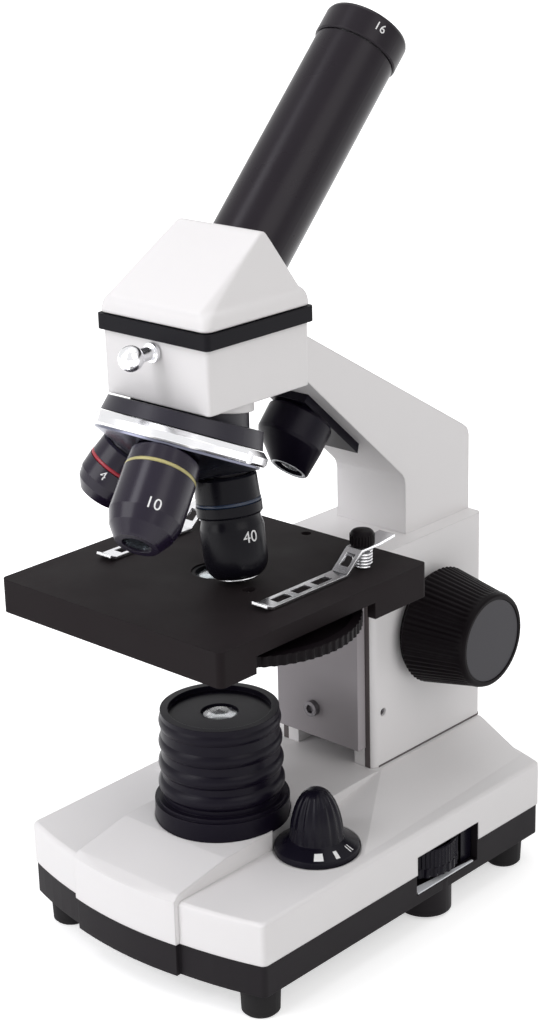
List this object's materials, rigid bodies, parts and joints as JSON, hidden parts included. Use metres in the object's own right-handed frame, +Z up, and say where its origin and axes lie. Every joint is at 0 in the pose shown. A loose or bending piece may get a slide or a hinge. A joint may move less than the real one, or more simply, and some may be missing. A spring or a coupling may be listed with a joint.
{
  "type": "student microscope",
  "caption": "Upright student microscope with a swivelling inclined eyepiece tube, tilted rotating nosepiece, rack-focused square stage and lamps above and below the specimen.",
  "frame": {"origin": "under the middle of the outline, on the bench that the feet stand on", "axes": "+Z up; -Y towards the front, where the nosepiece leans; +X to the right seen from the front"},
  "size_m": [0.101, 0.1566, 0.2784],
  "materials": {
    "white_shell": "satin off-white",
    "black_shell": "fine matte black",
    "stage_plastic": "fine textured matte black",
    "grip_plastic": "satin black",
    "cap_plastic": "smooth grey",
    "board": "green lacquer",
    "rubber": "matte",
    "tube_paint": "satin black",
    "barrel_paint": "semi-gloss black",
    "satin_metal": "satin anodised",
    "bright_metal": "polished",
    "steel": "brushed",
    "brass": "machined",
    "lens": "clear"
  },
  "bodies": {
    "stand": {"base_top_shell": "white_shell", "base_bottom_shell": "black_shell", "base_screws": "steel", "rubber_feet": "rubber", "battery_cover": "black_shell", "batteries": "steel", "battery_contacts": "steel", "power_inlet": "grip_plastic", "switch_body": "grip_plastic", "dimmer_body": "grip_plastic", "lamp_housing": "black_shell", "lamp_lens": "lens", "led_boards": "board", "stand_arm": "white_shell", "slide_rails": "steel", "shaft_bushes": "brass", "friction_screw": "steel", "head_band": "black_shell", "nosepiece_plate": "black_shell", "nosepiece_pivot": "steel", "click_spring": "steel", "upper_lamp_bracket": "black_shell", "upper_lamp_housing": "black_shell", "upper_lamp_lens": "lens"},
    "lock_screw": {"lock_screw": "bright_metal"},
    "stage": {"stage_plate": "stage_plastic", "stage_slide": "white_shell", "focus_rack": "brass", "stage_screws": "steel", "condenser_mount": "grip_plastic", "condenser_lens": "lens", "clip_posts": "bright_metal", "clip_caps": "grip_plastic", "clip_springs": "steel", "diaphragm_pivot": "steel"},
    "focus": {"focus_shaft": "steel", "focus_pinion": "brass", "focus_knob_left": "grip_plastic", "focus_knob_right": "grip_plastic", "knob_caps": "cap_plastic"},
    "clip_left": {"clip_left": "bright_metal"},
    "clip_right": {"clip_right": "bright_metal"},
    "diaphragm": {"diaphragm_wheel": "grip_plastic"},
    "nosepiece": {"nosepiece_cup": "satin_metal", "nosepiece_rim": "bright_metal", "objective_4": "barrel_paint", "objective_10": "barrel_paint", "objective_40": "barrel_paint", "objective_lenses": "lens"},
    "sprung_nose": {"objective_40_nose": "barrel_paint"},
    "head": {"head_housing": "white_shell", "head_flange": "grip_plastic", "prism": "lens", "eye_tube": "tube_paint"},
    "eyepiece": {"eyepiece_barrel": "bright_metal", "eyepiece_cap": "tube_paint", "eyepiece_lenses": "lens"},
    "light_dial": {"light_dial": "black_shell"},
    "dimmer": {"dimmer_wheel": "grip_plastic"}
  },
  "joints": [
    {"name": "head_swivel", "type": "hinge", "parent": "stand", "child": "head", "pos_m": [-0.001, -0.02771, 0.2], "axis": [0, 0, 1], "continuous": true},
    {"name": "lock_screw_turn", "type": "hinge", "parent": "stand", "child": "lock_screw", "pos_m": [-0.001, -0.05171, 0.191], "axis": [0, -1, 0], "range_deg": [0, 270]},
    {"name": "eyepiece_slide", "type": "slide", "parent": "head", "child": "eyepiece", "axis": [0, 0.6896, 0.7242], "range_m": [0, 0.02]},
    {"name": "nosepiece_turn", "type": "hinge", "parent": "stand", "child": "nosepiece", "pos_m": [-0.001, -0.02771, 0.1905], "axis": [0, 0.4147, 0.91], "continuous": true},
    {"name": "objective_spring", "type": "slide", "parent": "nosepiece", "child": "sprung_nose", "axis": [-0.1753, 0.0354, 0.9839], "range_m": [0, 0.0015], "stiffness_N_per_m": 800, "springref_m": -0.001},
    {"name": "stage_focus", "type": "slide", "parent": "stand", "child": "stage", "axis": [0, 0, 1], "range_m": [-0.0065, 0]},
    {"name": "focus_turn", "type": "hinge", "parent": "stand", "child": "focus", "pos_m": [-0.001, 0.04929, 0.0838], "axis": [1, 0, 0], "range_deg": [-1, 63.07]},
    {"name": "clip_left_swing", "type": "hinge", "parent": "stage", "child": "clip_left", "pos_m": [-0.033, 0.00229, 0.1256], "axis": [0, 0, 1], "range_deg": [-40, 10]},
    {"name": "clip_right_swing", "type": "hinge", "parent": "stage", "child": "clip_right", "pos_m": [0.031, 0.00229, 0.1256], "axis": [0, 0, 1], "range_deg": [-10, 40]},
    {"name": "diaphragm_turn", "type": "hinge", "parent": "stage", "child": "diaphragm", "pos_m": [0.0175, -0.03271, 0.1116], "axis": [0, 0, 1], "continuous": true},
    {"name": "dial_turn", "type": "hinge", "parent": "stand", "child": "light_dial", "pos_m": [0.0305, -0.01971, 0.04], "axis": [0, 0, 1], "range_deg": [-40, 40]},
    {"name": "dimmer_turn", "type": "hinge", "parent": "stand", "child": "dimmer", "pos_m": [0.0351, 0.02179, 0.017], "axis": [0, 0, 1], "range_deg": [0, 270]}
  ],
  "couplings": [
    {"joint": "focus_turn", "follows": "stage_focus", "rad_per_m": -166.67}
  ]
}
